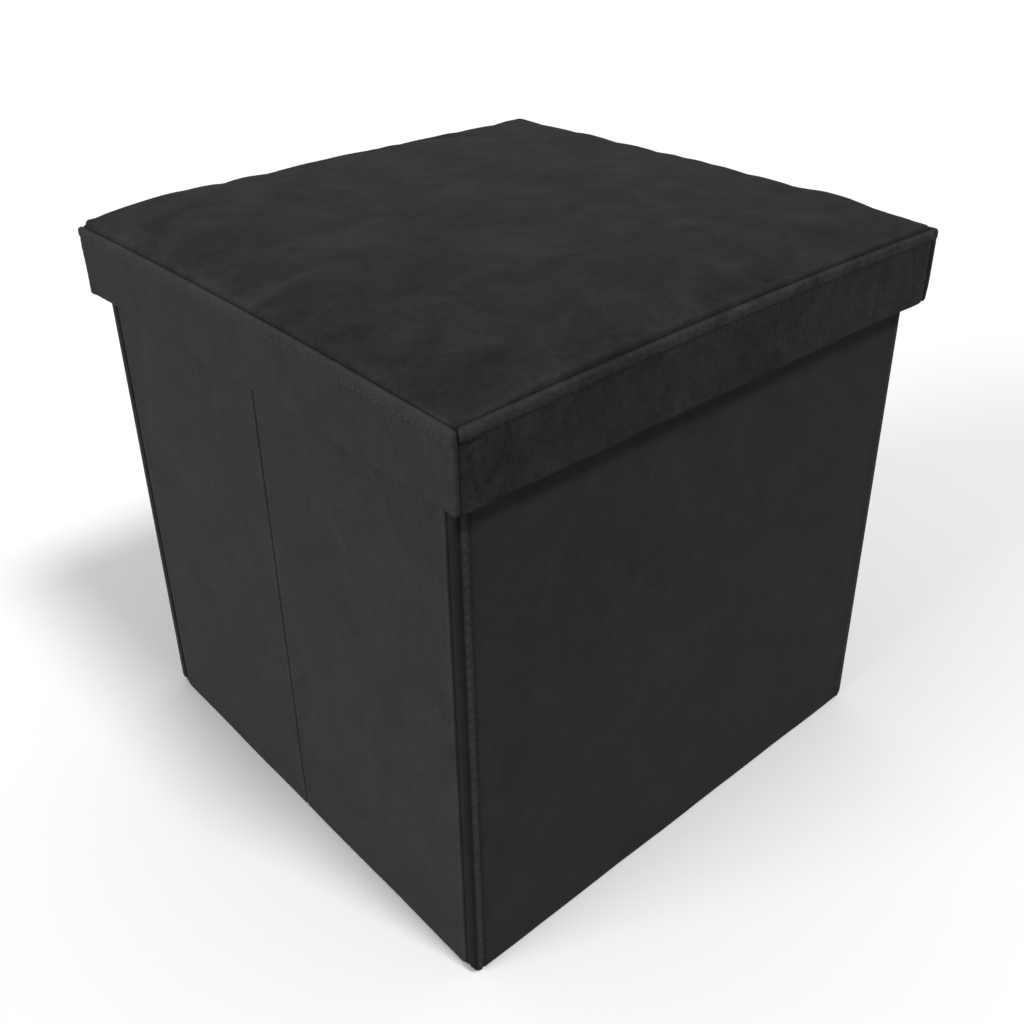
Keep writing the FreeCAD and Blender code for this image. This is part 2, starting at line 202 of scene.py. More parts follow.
def velvet(name, base, patchy, crushed):
    """Short-pile velvet: brushed patches, strokes, crushed spots and pile, in its colour and its relief."""
    material, tree, shader, plain = begin(name)
    streaked = coordinates(tree, (1, 1, 0.65))
    patches = noise(tree, plain, 42 * MM, 4, 0.9)
    strokes = noise(tree, streaked, 9 * MM, 4, 1.4)
    crush = noise(tree, plain, 3.0 * MM, 3, 0.8)
    pile = noise(tree, plain, 0.6 * MM, 2)
    brushed = ((patches, 0.5 * patchy), (strokes, 0.2 * patchy))
    mix = weighted(tree, *brushed, (crush, 0.2 * crushed), (pile, 0.2))
    middle = 0.35 * patchy + 0.1 * crushed + 0.1
    dark, light = (tuple(c * share for c in base) for share in (0.62, 1.45))
    spread = 0.15
    colour = ramp(tree, mix, (middle - spread, dark), (middle, base), (middle + spread, light))
    # The point attribute scales the colour: below 1 it is painted shade, above 1 a painted highlight.
    painted_light_level = tree.nodes.new("ShaderNodeAttribute")
    painted_light_level.attribute_name = PAINTED_LIGHT_ATTRIBUTE
    shade = tree.nodes.new("ShaderNodeVectorMath")
    shade.operation = "SCALE"
    tree.links.new(colour, shade.inputs[0])
    tree.links.new(painted_light_level.outputs["Fac"], shade.inputs["Scale"])
    tree.links.new(shade.outputs["Vector"], shader.inputs["Base Color"])
    rough = weighted(tree, (patches, 0.25), (pile, 0.15))
    lift = tree.nodes.new("ShaderNodeMath")
    lift.operation = "ADD"
    lift.inputs[1].default_value = 0.62
    tree.links.new(rough, lift.inputs[0])
    tree.links.new(lift.outputs[0], shader.inputs["Roughness"])
    shader.inputs["Specular IOR Level"].default_value = 0.03
    shader.inputs["Sheen Weight"].default_value = 0.005
    shader.inputs["Sheen Roughness"].default_value = 0.5
    shader.inputs["Sheen Tint"].default_value = (0.9, 0.9, 0.92, 1)
    bump(tree, shader, (strokes, 0.25, 0.6 * MM), (crush, 0.45 * crushed, 0.35 * MM), (pile, 0.4, 0.25 * MM))
    return material


def nonwoven(name, base):
    """Thermally bonded non-woven lining: a fine dimple grid over matted fibres."""
    material, tree, shader, plain = begin(name)
    slanted = turned(tree, plain, (0.62, 0.62, math.radians(45)))
    across = waves(tree, slanted, 1.3 * MM, "X")
    along = waves(tree, slanted, 1.3 * MM, "Y")
    fibres = noise(tree, plain, 0.7 * MM, 5, 2.2, 0.7)
    clouds = noise(tree, plain, 30 * MM, 3)
    mix = weighted(tree, (across, 0.14), (along, 0.14), (fibres, 0.36), (clouds, 0.36))
    paint(tree, shader, mix, base, (0.32, 0.55), (0.72, 1.6), 0.52)
    finish(shader, 0.72, specular=0.35, sheen=0.03)
    dimples = weighted(tree, (across, 0.5), (along, 0.5))
    bump(tree, shader, (fibres, 0.3, 0.2 * MM), (dimples, 0.45, 0.2 * MM))
    return material


def sewing_thread(name, base):
    """Twisted polyester thread."""
    material, tree, shader, plain = begin(name)
    twist = waves(tree, turned(tree, plain, (0.6, 0.7, 0.5)), 0.3 * MM, "X", 0.4)
    fuzz = noise(tree, plain, 0.2 * MM, 2)
    mix = weighted(tree, (twist, 0.7), (fuzz, 0.3))
    paint(tree, shader, mix, base, (0.2, 0.5), (0.8, 1.5))
    finish(shader, 0.6, specular=0.15)
    bump(tree, shader, (twist, 0.5, 0.08 * MM))
    return material


def grosgrain(name, base):
    """Ribbed ribbon, its ribs across its length."""
    material, tree, shader, plain = begin(name)
    ribs = waves(tree, plain, 0.9 * MM, "Y")
    yarn = noise(tree, coordinates(tree, (6, 1, 1)), 1.2 * MM, 3)
    mix = weighted(tree, (ribs, 0.6), (yarn, 0.4))
    paint(tree, shader, mix, base, (0.2, 0.55), (0.85, 1.5), 0.5)
    finish(shader, 0.45, sheen=0.05)
    bump(tree, shader, (yarn, 0.2, 0.1 * MM), (ribs, 0.8, 0.25 * MM))
    return material


def fibreboard(name, base):
    """Pressed wood fibre: flecks, fine fibres and a slightly darker cloudiness."""
    material, tree, shader, plain = begin(name)
    flecks = noise(tree, coordinates(tree, (1, 3, 2)), 1.4 * MM, 6, 1.0, 0.7)
    clouds = noise(tree, plain, 60 * MM, 3)
    mix = weighted(tree, (flecks, 0.65), (clouds, 0.35))
    paint(tree, shader, mix, base, (0.3, 0.6), (0.7, 1.35), 0.5)
    finish(shader, 0.85)
    bump(tree, shader, (flecks, 0.4, 0.15 * MM))
    return material


def cardboard(name, base):
    """Grey cardboard: long pulp fibres with faint corrugation."""
    material, tree, shader, plain = begin(name)
    pulp = noise(tree, coordinates(tree, (1, 1, 4)), 2.5 * MM, 5, 0.6, 0.65)
    flutes = waves(tree, plain, 4 * MM, "DIAGONAL", 0.3)
    mix = weighted(tree, (pulp, 0.85), (flutes, 0.15))
    paint(tree, shader, mix, base, (0.3, 0.7), (0.7, 1.25), 0.5)
    finish(shader, 0.9)
    bump(tree, shader, (flutes, 0.25, 0.2 * MM), (pulp, 0.3, 0.1 * MM))
    return material


def floor_paint(name, base):
    """Matt pale paint with hardly any cloudiness."""
    material, tree, shader, plain = begin(name)
    clouds = noise(tree, plain, 0.4, 2)
    paint(tree, shader, clouds, base, (0.3, 0.995), (0.7, 1.0))
    finish(shader, 0.8)
    return material


VELVET = velvet("velvet", (0.0100, 0.0100, 0.0102), 0.5, 0.9)
# A darker copy of the velvet as painted shade for the front, right and back skirts; its stronger mottling is
# the cloth's own.
SHADED_SKIRT_VELVET = velvet("velvet_skirt_painted_shade", (0.0080, 0.0080, 0.0082), 1.3, 1.9)
# A darker copy of the velvet as painted shade for the lid's top, which gets more light from above.
SHADED_TOP_VELVET = velvet("velvet_top_painted_shade", (0.0066, 0.0066, 0.0067), 1.2, 1.3)
NONWOVEN = nonwoven("lining_cloth", (0.0110, 0.0110, 0.0113))
THREADS = sewing_thread("sewing_thread", (0.019, 0.019, 0.0194))
RIBBON = grosgrain("ribbon", (0.018, 0.018, 0.0184))
BOARD = fibreboard("fibreboard", (0.33, 0.21, 0.115))
CARDBOARD = cardboard("skirt_cardboard", (0.36, 0.33, 0.28))


# ---------------------------------------------------------------- meshes


def grid_lines(start, *runs):
    """Positions from start through runs of (end, step)."""
    values = [start]
    for end, step in runs:
        count = max(1, round(abs(end - values[-1]) / step))
        values.extend(np.linspace(values[-1], end, count + 1)[1:])
    return np.array(values)


def edged_lines(low, high, border, fine, coarse):
    """Positions from low to high, fine apart along both borders and coarse between."""
    return grid_lines(low, (low + border, fine), (high - border, coarse), (high, fine))


def through(thick):
    """The six steps through a thin box."""
    return grid_lines(-thick / 2, (thick / 2, thick / 6))


def grid_points(us, vs):
    """The coordinates of a sheet's points, in the order that grid_faces takes them."""
    return (a.ravel() for a in np.meshgrid(us, vs, indexing="ij"))


def wander(u, v, seed, length):
    """A smooth random height over (u, v), about -1 to 1, whose hills are length apart."""
    draws = np.random.default_rng(seed)
    total = np.zeros_like(u)
    count = 7
    for _ in range(count):
        angle = draws.uniform(0, TAU)
        rate = TAU / length * draws.uniform(0.55, 1.3)
        phase = draws.uniform(0, TAU)
        total += np.sin((u * math.cos(angle) + v * math.sin(angle)) * rate + phase)
    return total / math.sqrt(2 * count)


def smooth_step(value, low, high):
    t = np.clip((value - low) / (high - low), 0, 1)
    return t * t * (3 - 2 * t)


def hump(distance, width):
    """1 at no distance, falling softly to 0 at about twice the width."""
    return np.exp(-((distance / width) ** 2))


def line_distance(u, v, start, end):
    """How far points lie from the segment from start to end."""
    a, b = np.array(start), np.array(end)
    run = b - a
    t = np.clip(((u - a[0]) * run[0] + (v - a[1]) * run[1]) / (run @ run), 0, 1)
    return np.hypot(u - a[0] - t * run[0], v - a[1] - t * run[1])


def folds(u, v, listed):
    """The height over (u, v) of a list of folds: (start, end, width, height)."""
    return sum(height * hump(line_distance(u, v, start, end), width) for start, end, width, height in listed)


def new_object(name, points, faces, material, painted_light=None):
    """A smooth mesh of only the points that its faces use, with the painted light and shade at each point.
    """
    used = sorted({i for face in faces for i in face})
    place = {old: new for new, old in enumerate(used)}
    mesh = bpy.data.meshes.new(name)
    mesh.from_pydata([tuple(points[i]) for i in used], [], [[place[i] for i in f] for f in faces])
    mesh.polygons.foreach_set("use_smooth", [True] * len(mesh.polygons))
    mesh.materials.append(material)
    painted_light_level = mesh.attributes.new(PAINTED_LIGHT_ATTRIBUTE, "FLOAT", "POINT")
    painted_light_level.data.foreach_set("value", np.ones(len(used)) if painted_light is None else np.asarray(painted_light)[used])
    mesh.update()
    obj = bpy.data.objects.new(name, mesh)
    bpy.context.scene.collection.objects.link(obj)
    return obj


def places(obj):
    return np.array([tuple(v.co) for v in obj.data.vertices])


def move_to(obj, points):
    obj.data.vertices.foreach_set("co", points.ravel())
    obj.data.update()


def settle(obj):
    """Applies the modifiers of a piece."""
    graph = bpy.context.evaluated_depsgraph_get()
    mesh = bpy.data.meshes.new_from_object(obj.evaluated_get(graph))
    obj.modifiers.clear()
    obj.data = mesh
    return obj


def thicken(obj, thickness):
    """Gives a sheet its thickness, behind its outer face."""
    solid = obj.modifiers.new("thickness", "SOLIDIFY")
    solid.thickness = thickness
    solid.offset = -1
    return settle(obj)


def grid_faces(rows, columns, flip=False):
    """The quads of a sheet whose points run column by column along each row."""
    faces = []
    for i in range(rows - 1):
        for j in range(columns - 1):
            a = i * columns + j
            b = a + columns
            faces.append([a, b, b + 1, a + 1] if flip else [a, a + 1, b + 1, b])
    return faces


def box_surface(us, vs, ws):
    """The surface of a box as (points in u, v, w, faces), divided at the given lines."""
    index = {}
    points = []
    faces = []

    def vertex(i, j, k):
        key = (i, j, k)
        if key not in index:
            index[key] = len(points)
            points.append((us[i], vs[j], ws[k]))
        return index[key]

    def side(make, rows, columns, flip):
        for i in range(rows - 1):
            for j in range(columns - 1):
                quad = [make(i, j), make(i + 1, j), make(i + 1, j + 1), make(i, j + 1)]
                faces.append(quad[::-1] if flip else quad)

    nu, nv, nw = len(us), len(vs), len(ws)
    for k, flip in ((0, True), (nw - 1, False)):
        side(lambda i, j: vertex(i, j, k), nu, nv, flip)
    for i, flip in ((0, True), (nu - 1, False)):
        side(lambda j, k: vertex(i, j, k), nv, nw, flip)
    for j, flip in ((0, True), (nv - 1, False)):
        side(lambda k, i: vertex(i, j, k), nw, nu, flip)
    return np.array(points), faces


def rounded(points, size, outline, edge):
    """Moves a box's points, centred on the origin, so that its outline and its edges are round.

    outline is the outline's corner radius, or one radius for the low end and one for the high end."""
    first, second = outline if isinstance(outline, tuple) else (outline, outline)
    outline = np.where(points[:, 0] < 0, first, second)
    core = np.array(size[:2]) / 2 - outline[:, None]
    flat = np.clip(points[:, :2], -core, core)
    out = points[:, :2] - flat
    shell = np.abs(out).max(axis=1)
    length = np.maximum(np.hypot(*out.T), 1e-12)
    half = size[2] / 2
    edge = np.minimum(min(edge, half), outline)
    over = np.maximum(shell - (outline - edge), 0)
    rise = np.maximum(np.abs(points[:, 2]) - (half - edge), 0)
    scale = np.maximum(over, rise) / np.maximum(np.hypot(over, rise), 1e-12)
    reach = np.where(over > 0, outline - edge + over * scale, shell)
    moved = flat + out * (reach / length)[:, None]
    height = np.where(rise > 0, np.sign(points[:, 2]) * (half - edge + rise * scale), points[:, 2])
    return np.column_stack([moved, height])


def from_edge(points, size):
    """How far a centred box's points lie inside its outline."""
    return np.minimum(size[0] / 2 - np.abs(points[:, 0]), size[1] / 2 - np.abs(points[:, 1]))


def turned_in(points, faces, size):
    """The faces of a box that its cloth covers: all but the middle of the back, where it only turns in."""
    inset = from_edge(points, size)
    back = points[:, 2] < TINY - size[2] / 2
    return [f for f in faces if not (all(back[i] for i in f) and min(inset[i] for i in f) > TURN)]


def to_world(points, side, centre):
    """Points in a side's own (along, up, out), moved by centre, as points in the row frame."""
    along, out = SIDES[side]
    moved = points + np.array(centre)
    axes = np.array([along, UP, out])
    return moved @ axes


def side_line(side, us, v, w):
    """The points of a line along a side, at heights v and distances out w."""
    return to_world(np.column_stack([us, v + 0 * us, w + 0 * us]), side, (0, 0, 0))


def reach(node, direction):
    """The lowest and highest distance of a CAD node along an axis."""
    low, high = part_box(node)
    return sorted((low.dot(direction), high.dot(direction)))


def stitches(name, points, normal, body, pitch=STITCH_PITCH):
    """A row of sewn stitches along a line of points, as short threads that dip at both ends."""
    points = np.array(points)
    out = np.array(normal, float)
    steps = np.linalg.norm(np.diff(points, axis=0), axis=1)
    along = np.concatenate([[0], np.cumsum(steps)])
    count = int(along[-1] / pitch)
    rings, sides = 6, 6
    vertices, faces = [], []
    for stitch in range(count):
        middle = (stitch + 0.5) * along[-1] / count
        start = len(vertices)
        for ring in range(rings):
            share = ring / (rings - 1)
            s = middle + (share - 0.5) * STITCH_LENGTH
            at = np.array([np.interp(s, along, points[:, k]) for k in range(3)])
            ahead = np.array([np.interp(s + 0.2 * MM, along, points[:, k]) for k in range(3)])
            behind = np.array([np.interp(s - 0.2 * MM, along, points[:, k]) for k in range(3)])
            run = ahead - behind
            run /= np.linalg.norm(run)
            across = np.cross(out, run)
            arch = math.sin(math.pi * share)
            radius = THREAD / 2 * (0.55 + 0.45 * arch)
            centre = at + out * (0.45 * THREAD * arch - 0.2 * THREAD)
            for turn in range(sides):
                angle = TAU * turn / sides
                vertices.append(centre + radius * (across * math.cos(angle) + out * math.sin(angle)))
        for ring in range(rings - 1):
            for turn in range(sides):
                a = start + ring * sides + turn
                b = start + ring * sides + (turn + 1) % sides
                faces.append([a, b, b + sides, a + sides])
        faces.append([start + turn for turn in range(sides)][::-1])
        faces.append([start + (rings - 1) * sides + turn for turn in range(sides)])
    obj = new_object(name, np.array(vertices), faces, THREADS)
    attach(obj, body)
    return obj


# ---------------------------------------------------------------- walls


WALL_EDGE = 1.9 * MM
LONG_CORNER = 6 * MM
SIDE_CORNER = 4 * MM
CREASE_CORNER = 1.6 * MM
SIDE_REACH = 6.1 * MM  # how far a side half's velvet comes past its board towards the corner
HEM_LINE = reach("front_hem", UP)[1]
WALL_HEAD = reach("front_cover", UP)[1]
ROLL = 6.6 * MM  # from a front or back panel's end to its stitched groove
CREASE_REACH = 0.85 * MM  # how far a side half's velvet comes past its board towards the crease

# Soft folds in the walls: (start, end, width, height) along and up each panel's outer face.
FOLDS = {
    "left_rear": [((-0.136, 0.322), (-0.161, 0.205), 5 * MM, -0.5 * MM),
                  ((-0.120, 0.330), (-0.148, 0.235), 9 * MM, 0.35 * MM)],
    "left_front": [((0.030, 0.318), (0.044, 0.262), 7 * MM, -0.22 * MM)],
    "front": [((0.150, 0.075), (0.118, 0.040), 6 * MM, -0.3 * MM),
              ((0.135, 0.085), (0.100, 0.030), 8 * MM, 0.25 * MM),
              ((-0.020, 0.316), (0.010, 0.286), 8 * MM, -0.25 * MM)],
}


def wall_relief(name, u, v, low, high, long_panel):
    """How far a panel's velvet stands out, over its board."""
    seed = sorted(PANELS).index(name)
    inside = np.minimum(np.minimum(u - low, high - u), WALL_HEAD - v)
    calm = smooth_step(inside, 4 * MM, 22 * MM)
    relief = calm * 0.22 * MM * wander(u, v, seed, 95 * MM)
    relief += calm * 0.07 * MM * wander(u, v, seed + 40, 26 * MM)
    relief += folds(u, v, FOLDS.get(name, []))
    if long_panel:
        edge = np.minimum(u - low, high - u)
        beat = 0.5 + 0.5 * np.cos(TAU * v / (1.5 * STITCH_PITCH) + 0.7 * np.sin(v / (31 * MM)))
        relief += -0.75 * MM * hump(edge - ROLL, 0.85 * MM) * (0.75 + 0.25 * beat)
        relief += 0.45 * MM * hump(edge - 4.2 * MM, 1.5 * MM) * (0.45 + 0.55 * beat)
        pull = np.cos(TAU * v / STITCH_PITCH)
        relief += 0.07 * MM * hump(edge - ROLL - 1.8 * MM, 1.2 * MM) * pull
    return relief


def wall_painted_light(edge, v, outward, side):
    """Painted light on a panel: painted shade round a front panel's ends, a painted highlight on the ridge
    beside them and painted shade in the stitched groove; on a side half, a painted highlight along its
    rounded edges.
    """
    if side in ("left", "right"):
        # Painted highlight along the side halves' rounded edges.
        return 1 + 0.25 * hump(edge - 1.2 * MM, 1.0 * MM) * outward
    # Painted shade where the front panel's ends turn into the corner groove, a painted highlight on the
    # ridge and painted shade in the stitched groove.
    wrapped = 1 - smooth_step(edge, 1.6 * MM, 2.9 * MM)
    ridge = hump(edge - 4.2 * MM, 1.4 * MM) * outward
    beat = 0.6 + 0.4 * np.cos(TAU * v / (1.5 * STITCH_PITCH))
    sewn = hump(edge - ROLL - 1.6 * MM, 0.7 * MM) * outward
    painted_end_shade = 0.62 if side == "front" else 0.0
    return (1 - painted_end_shade * wrapped) * (1 + 0.75 * ridge * beat) * (1 - 0.35 * sewn)


def wall_lines(low, high):
    """A panel's middle, and the lines along it, from its middle, at which its mesh is divided."""
    middle = (low + high) / 2
    half = (high - low) / 2
    return middle, edged_lines(-half, half, 9 * MM, 0.6 * MM, 5 * MM)


def wall_skin(name):
    """The velvet of one wall panel and, as its own piece, the hem at its foot."""
    side, body = PANELS[name]
    along, out = SIDES[side]
    low, high = reach(name + "_cover", along)
    corners = (LONG_CORNER, LONG_CORNER)
    if side in ("left", "right"):
        crease_low = abs(low) < abs(high)
        low -= CREASE_REACH if crease_low else SIDE_REACH
        high += SIDE_REACH if crease_low else CREASE_REACH
        corners = (CREASE_CORNER, SIDE_CORNER) if crease_low else (SIDE_CORNER, CREASE_CORNER)
    inner, outer = reach(name + "_hem", out)
    inner += 0.1 * MM
    foot = reach(name + "_hem", UP)[0]
    head = reach(name + "_cover", UP)[1]
    middle, us = wall_lines(low, high)
    height = head - foot
    vs = grid_lines(-height / 2, (HEM_LINE - foot - height / 2, 0.8 * MM), (-height / 2 + 12 * MM, 1 * MM),
                    (height / 2 - 12 * MM, 1.5 * MM), (height / 2, 0.8 * MM))
    thick = outer - inner
    points, faces = box_surface(us, vs, through(thick))
    size = (high - low, height, thick)
    shaped = rounded(points, size, corners, WALL_EDGE)
    u = shaped[:, 0] + middle
    v = shaped[:, 1] + (foot + head) / 2
    front_share = smooth_step(shaped[:, 2], 0, thick / 2)
    shaped[:, 2] += front_share * wall_relief(name, u, v, low, high, side in ("front", "back"))
    # The panel's painted shade and highlights, multiplied into its velvet colour.
    painted_light = wall_painted_light(size[0] / 2 - np.abs(shaped[:, 0]), v, front_share, side)
    hem_line = HEM_LINE - (foot + head) / 2 + TINY
    parts = {"cover": [], "hem": []}
    for face in turned_in(points, faces, size):
        hem = max(points[i, 1] for i in face) <= hem_line
        parts["hem" if hem else "cover"].append(face)
    world = to_world(shaped, side, (middle, (foot + head) / 2, (inner + outer) / 2))
    made = {}
    for part, chosen in parts.items():
        obj = new_object(f"{name}_velvet_{part}", world, chosen, VELVET, painted_light)
        made[part] = thicken(obj, CLOTH)
        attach(obj, body)
        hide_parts(f"{name}_{part}")
    if name != "front":
        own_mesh(made["hem"])
    if side in ("front", "back"):
        for end, sign in (("first", 1), ("second", -1)):
            u = (low if sign > 0 else high) + sign * ROLL
            zs = np.linspace(foot + 9 * MM, head - 5 * MM, ROW)
            line = side_line(side, u + 0 * zs, zs, outer - 0.62 * MM)
            stitches(f"{name}_{end}_end_stitches", line, out, body)


def wall_lining(name):
    """The non-woven lining glued and sewn to one panel's inner face."""
    side, body = PANELS[name]
    along, out = SIDES[side]
    low, high = reach(name + "_lining", along)
    inner, outer = reach(name + "_lining", out)
    foot, head = reach(name + "_lining", UP)
    head -= 10 * MM
    low, high = low + 2.4 * MM, high - 2.4 * MM
    us = edged_lines(low, high, 8 * MM, 0.8 * MM, 6 * MM)
    vs = grid_lines(foot, (head - 8 * MM, 6 * MM), (head, 0.8 * MM))
    u, v = grid_points(us, vs)
    inset = np.minimum(np.minimum(u - low, high - u), head - v)
    sag = 0.12 * MM * wander(u, v, len(name), 45 * MM) * smooth_step(inset, 5 * MM, 20 * MM)
    seam = 0.18 * MM * hump(inset - 4 * MM, 0.9 * MM)
    w = np.full_like(u, inner + LINING / 2) + 0.1 * MM + np.clip(sag, -0.08 * MM, 1) + seam
    faces = grid_faces(len(us), len(vs))
    obj = hang_lining(f"{name}_lining_cloth", side, faces, (u, v, w), f"{name}_lining", body)
    row = np.linspace(low + 5 * MM, high - 5 * MM, ROW)
    line = side_line(side, row, head - 4 * MM, inner + 0.36 * MM)
    stitches(f"{name}_lining_stitches", line, -out, body)


def hang_lining(name, side, faces, surface, node, body):
    """Makes a lining from its points in a side's own axes, and rides it on a body."""
    world = to_world(np.column_stack(surface), side, (0, 0, 0))
    obj = thicken(new_object(name, world, faces, NONWOVEN), LINING)
    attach(obj, body)
    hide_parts(node)
    return obj


def strip(name, section, zs, replaced=(), painted_light=0.45):
    """A band of velvet that runs up the object with the given section, a list of (x, y), its colour darkened
    as painted shade, to 0.45 unless given.
    """
    points = np.array([(x, y, z) for x, y in section for z in zs])
    faces = grid_faces(len(section), len(zs))
    obj = new_object(name, points, faces, VELVET, np.full(len(points), painted_light))
    if replaced:
        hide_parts(*replaced)
    return obj


def curve_through(points, count):
    """A smooth open curve near the given points, as count points."""
    points = np.array(points, float)
    for _ in range(3):
        near = 0.75 * points[:-1] + 0.25 * points[1:]
        far = 0.25 * points[:-1] + 0.75 * points[1:]
        points = np.vstack([points[:1], np.stack([near, far], 1).reshape(-1, 2), points[-1:]])
    steps = np.concatenate([[0], np.cumsum(np.linalg.norm(np.diff(points, axis=0), axis=1))])
    s = np.linspace(0, steps[-1], count)
    return np.column_stack([np.interp(s, steps, points[:, k]) for k in range(2)])


def corner_web(x_sign, y_sign):
    """The velvet hinge between a long panel and the side half next to it, sunk between them."""
    x_name = "left" if x_sign < 0 else "right"
    y_name = "front" if y_sign < 0 else "back"
    node = f"{y_name}_{x_name}_corner_seam"
    half = f"{x_name}_{'front' if y_sign < 0 else 'rear'}_half"
    panel_inner = reach(y_name + "_lining", SIDES[y_name][1])[0]
    half_end = reach(half[:-5] + "_cover", SIDES[y_name][1])[1] + SIDE_REACH
    wall_out = reach(half[:-5] + "_cover", SIDES[x_name][1])[1]
    deep = wall_out - 1.9 * MM
    lip = wall_out - 1.1 * MM
    spread = [
        (lip - 0.2 * MM, panel_inner + 0.9 * MM),
        (lip - 0.5 * MM, panel_inner + 0.1 * MM),
        (deep, panel_inner - 0.7 * MM),
        (deep, half_end + 0.8 * MM),
        (lip - 0.4 * MM, half_end),
        (lip, half_end - 0.8 * MM),
    ]
    section = curve_through(spread, 17) * np.array([x_sign, y_sign])
    if x_sign * y_sign < 0:
        section = section[::-1]
    zs = grid_lines(1 * MM, (0.342, 2.25 * MM))
    middle = (panel_inner + half_end) / 2
    open_pivot = x_sign > 0 and y_sign > 0
    # The corner webs are darkened as painted shade in the corner groove, the front ones more.
    painted_light_level = 0.62 if y_sign < 0 else 0.9
    if not open_pivot:
        obj = strip(f"{y_name}_{x_name}_corner_web", section, zs, [node], painted_light_level)
        bumps(obj, x_sign)
        thicken(obj, CLOTH)
        if y_sign < 0:
            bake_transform(obj)
        else:
            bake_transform(obj)
        return
    for part, keep, body in (
        ("panel_web", np.abs(section[:, 1]) >= middle - 1e-9, "back_panel"),
        ("half_web", np.abs(section[:, 1]) <= middle + 1e-9, half),
    ):
        obj = strip(f"{y_name}_{x_name}_corner_{part}", section[keep], zs, painted_light=painted_light_level)
        bumps(obj, x_sign)
        thicken(obj, CLOTH)
        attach(obj, body)
        if part == "panel_web":
            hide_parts(node)


def bumps(obj, x_sign):
    """Pulls a web in a little at each stitch."""
    for vertex in obj.data.vertices:
        beat = math.sin(TAU * vertex.co.z / (1.5 * STITCH_PITCH))
        vertex.co.x += x_sign * 0.1 * MM * beat


def crease_web(x_sign):
    """The velvet at the bottom of the crease between a side's two halves."""
    x_name = "left" if x_sign < 0 else "right"
    half_end = -reach(x_name + "_front_cover", Vector((0, 1, 0)))[1]
    wall_out = reach(x_name + "_front_cover", SIDES[x_name][1])[1]
    deep = wall_out - 1.5 * MM
    spread = [
        (deep - 0.6 * MM, -half_end),
        (deep, -0.4 * half_end),
        (deep - 0.1 * MM, 0),
        (deep, 0.4 * half_end),
        (deep - 0.6 * MM, half_end),
    ]
    section = curve_through(spread, 9) * np.array([x_sign, 1])
    if x_sign < 0:
        section = section[::-1]
    zs = grid_lines(HEM_LINE - 3 * MM, (0.344, 3 * MM))
    # The crease web keeps the strip's painted shade, darkening the crease.
    obj = strip(f"{x_name}_crease_web", section[::-1], zs, [f"{x_name}_crease_seam"])
    thicken(obj, CLOTH)
    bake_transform(obj)


# ---------------------------------------------------------------- base


def flat_cloth(name, low, high, z):
    """A level sheet of lining cloth, drawn in along the seam of its border."""
    xs, ys = (edged_lines(low[k], high[k], 8 * MM, 1 * MM, 6 * MM) for k in (0, 1))
    x, y = grid_points(xs, ys)
    inset = np.minimum(np.minimum(x - low[0], high[0] - x), np.minimum(y - low[1], high[1] - y))
    seam = 0.12 * MM * hump(inset - 5 * MM, 0.9 * MM)
    faces = grid_faces(len(xs), len(ys), flip=True)
    return new_object(name, np.column_stack([x, y, z - seam]), faces, NONWOVEN)


def base_cloths():
    """The non-woven bag round the base board: its top with the turned edges, and its underside."""
    low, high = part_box("base_top_cloth")
    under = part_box("base_under_cloth")[0].z
    size = (high.x - low.x, high.y - low.y, high.z - under)
    centre = ((low.x + high.x) / 2, (low.y + high.y) / 2, (high.z + under) / 2)
    us, vs = (edged_lines(-size[k] / 2, size[k] / 2, 8 * MM, 1 * MM, 6 * MM) for k in (0, 1))
    points, faces = box_surface(us, vs, through(size[2]))
    shaped = rounded(points, size, 2.2 * MM, 1.3 * MM)
    inset = from_edge(points, size)
    calm = smooth_step(inset, 4 * MM, 25 * MM)
    sag = np.clip(0.1 * MM * wander(points[:, 0], points[:, 1], 5, 60 * MM), -0.1 * MM, 0.1 * MM) * calm
    seam = -0.2 * MM * hump(inset - 6 * MM, 0.9 * MM)
    face_side = np.sign(points[:, 2]) * (np.abs(points[:, 2]) > size[2] / 2 - TINY)
    shaped[:, 2] += face_side * (sag * 0.5 + seam)
    world = shaped + np.array(centre)
    split = TINY - size[2] / 6
    chosen = {"top": [], "under": []}
    for face in faces:
        lower = max(points[i, 2] for i in face) <= split
        chosen["under" if lower else "top"].append(face)
    for part, quads in chosen.items():
        obj = new_object(f"base_{part}_lining", world, quads, NONWOVEN)
        thicken(obj, 0.3 * MM)
        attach(obj, "base_plate")
        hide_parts(f"base_{part}_cloth")
    ring = 6 * MM
    a, b, top = size[0] / 2 - ring, size[1] / 2 - ring, high.z - 0.1 * MM - centre[2]
    corners = [Vector((x, y, top)) for x, y in ((-a, -b), (a, -b), (a, b), (-a, b), (-a, -b))]
    track = []
    for start, end in zip(corners, corners[1:]):
        for share in np.linspace(0, 1, 40, endpoint=False):
            track.append(start.lerp(end, share) + Vector(centre))
    stitches("base_border_stitches", track, UP, "base_plate")


def base_hinge():
    """The seam that joins the base to the front panel, as a soft curved web."""
    low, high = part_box("base_seam")
    y0, y1 = low.y - 0.1 * MM, high.y + 1.2 * MM
    z = (low.z + high.z) / 2
    section = curve_through([(y0, z + 0.9 * MM), ((y0 + y1) / 2, z - 0.5 * MM), (y1, z + 0.9 * MM)], 9)
    xs = grid_lines(low.x, (high.x, 2.25 * MM))
    points = [(x, y, h + 0.07 * MM * math.sin(TAU * x / STITCH_PITCH)) for y, h in section for x in xs]
    faces = grid_faces(len(section), len(xs))
    obj = new_object("base_hinge_web", np.array(points), faces, NONWOVEN)
    thicken(obj, LINING)
    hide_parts("base_seam")
    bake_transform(obj)


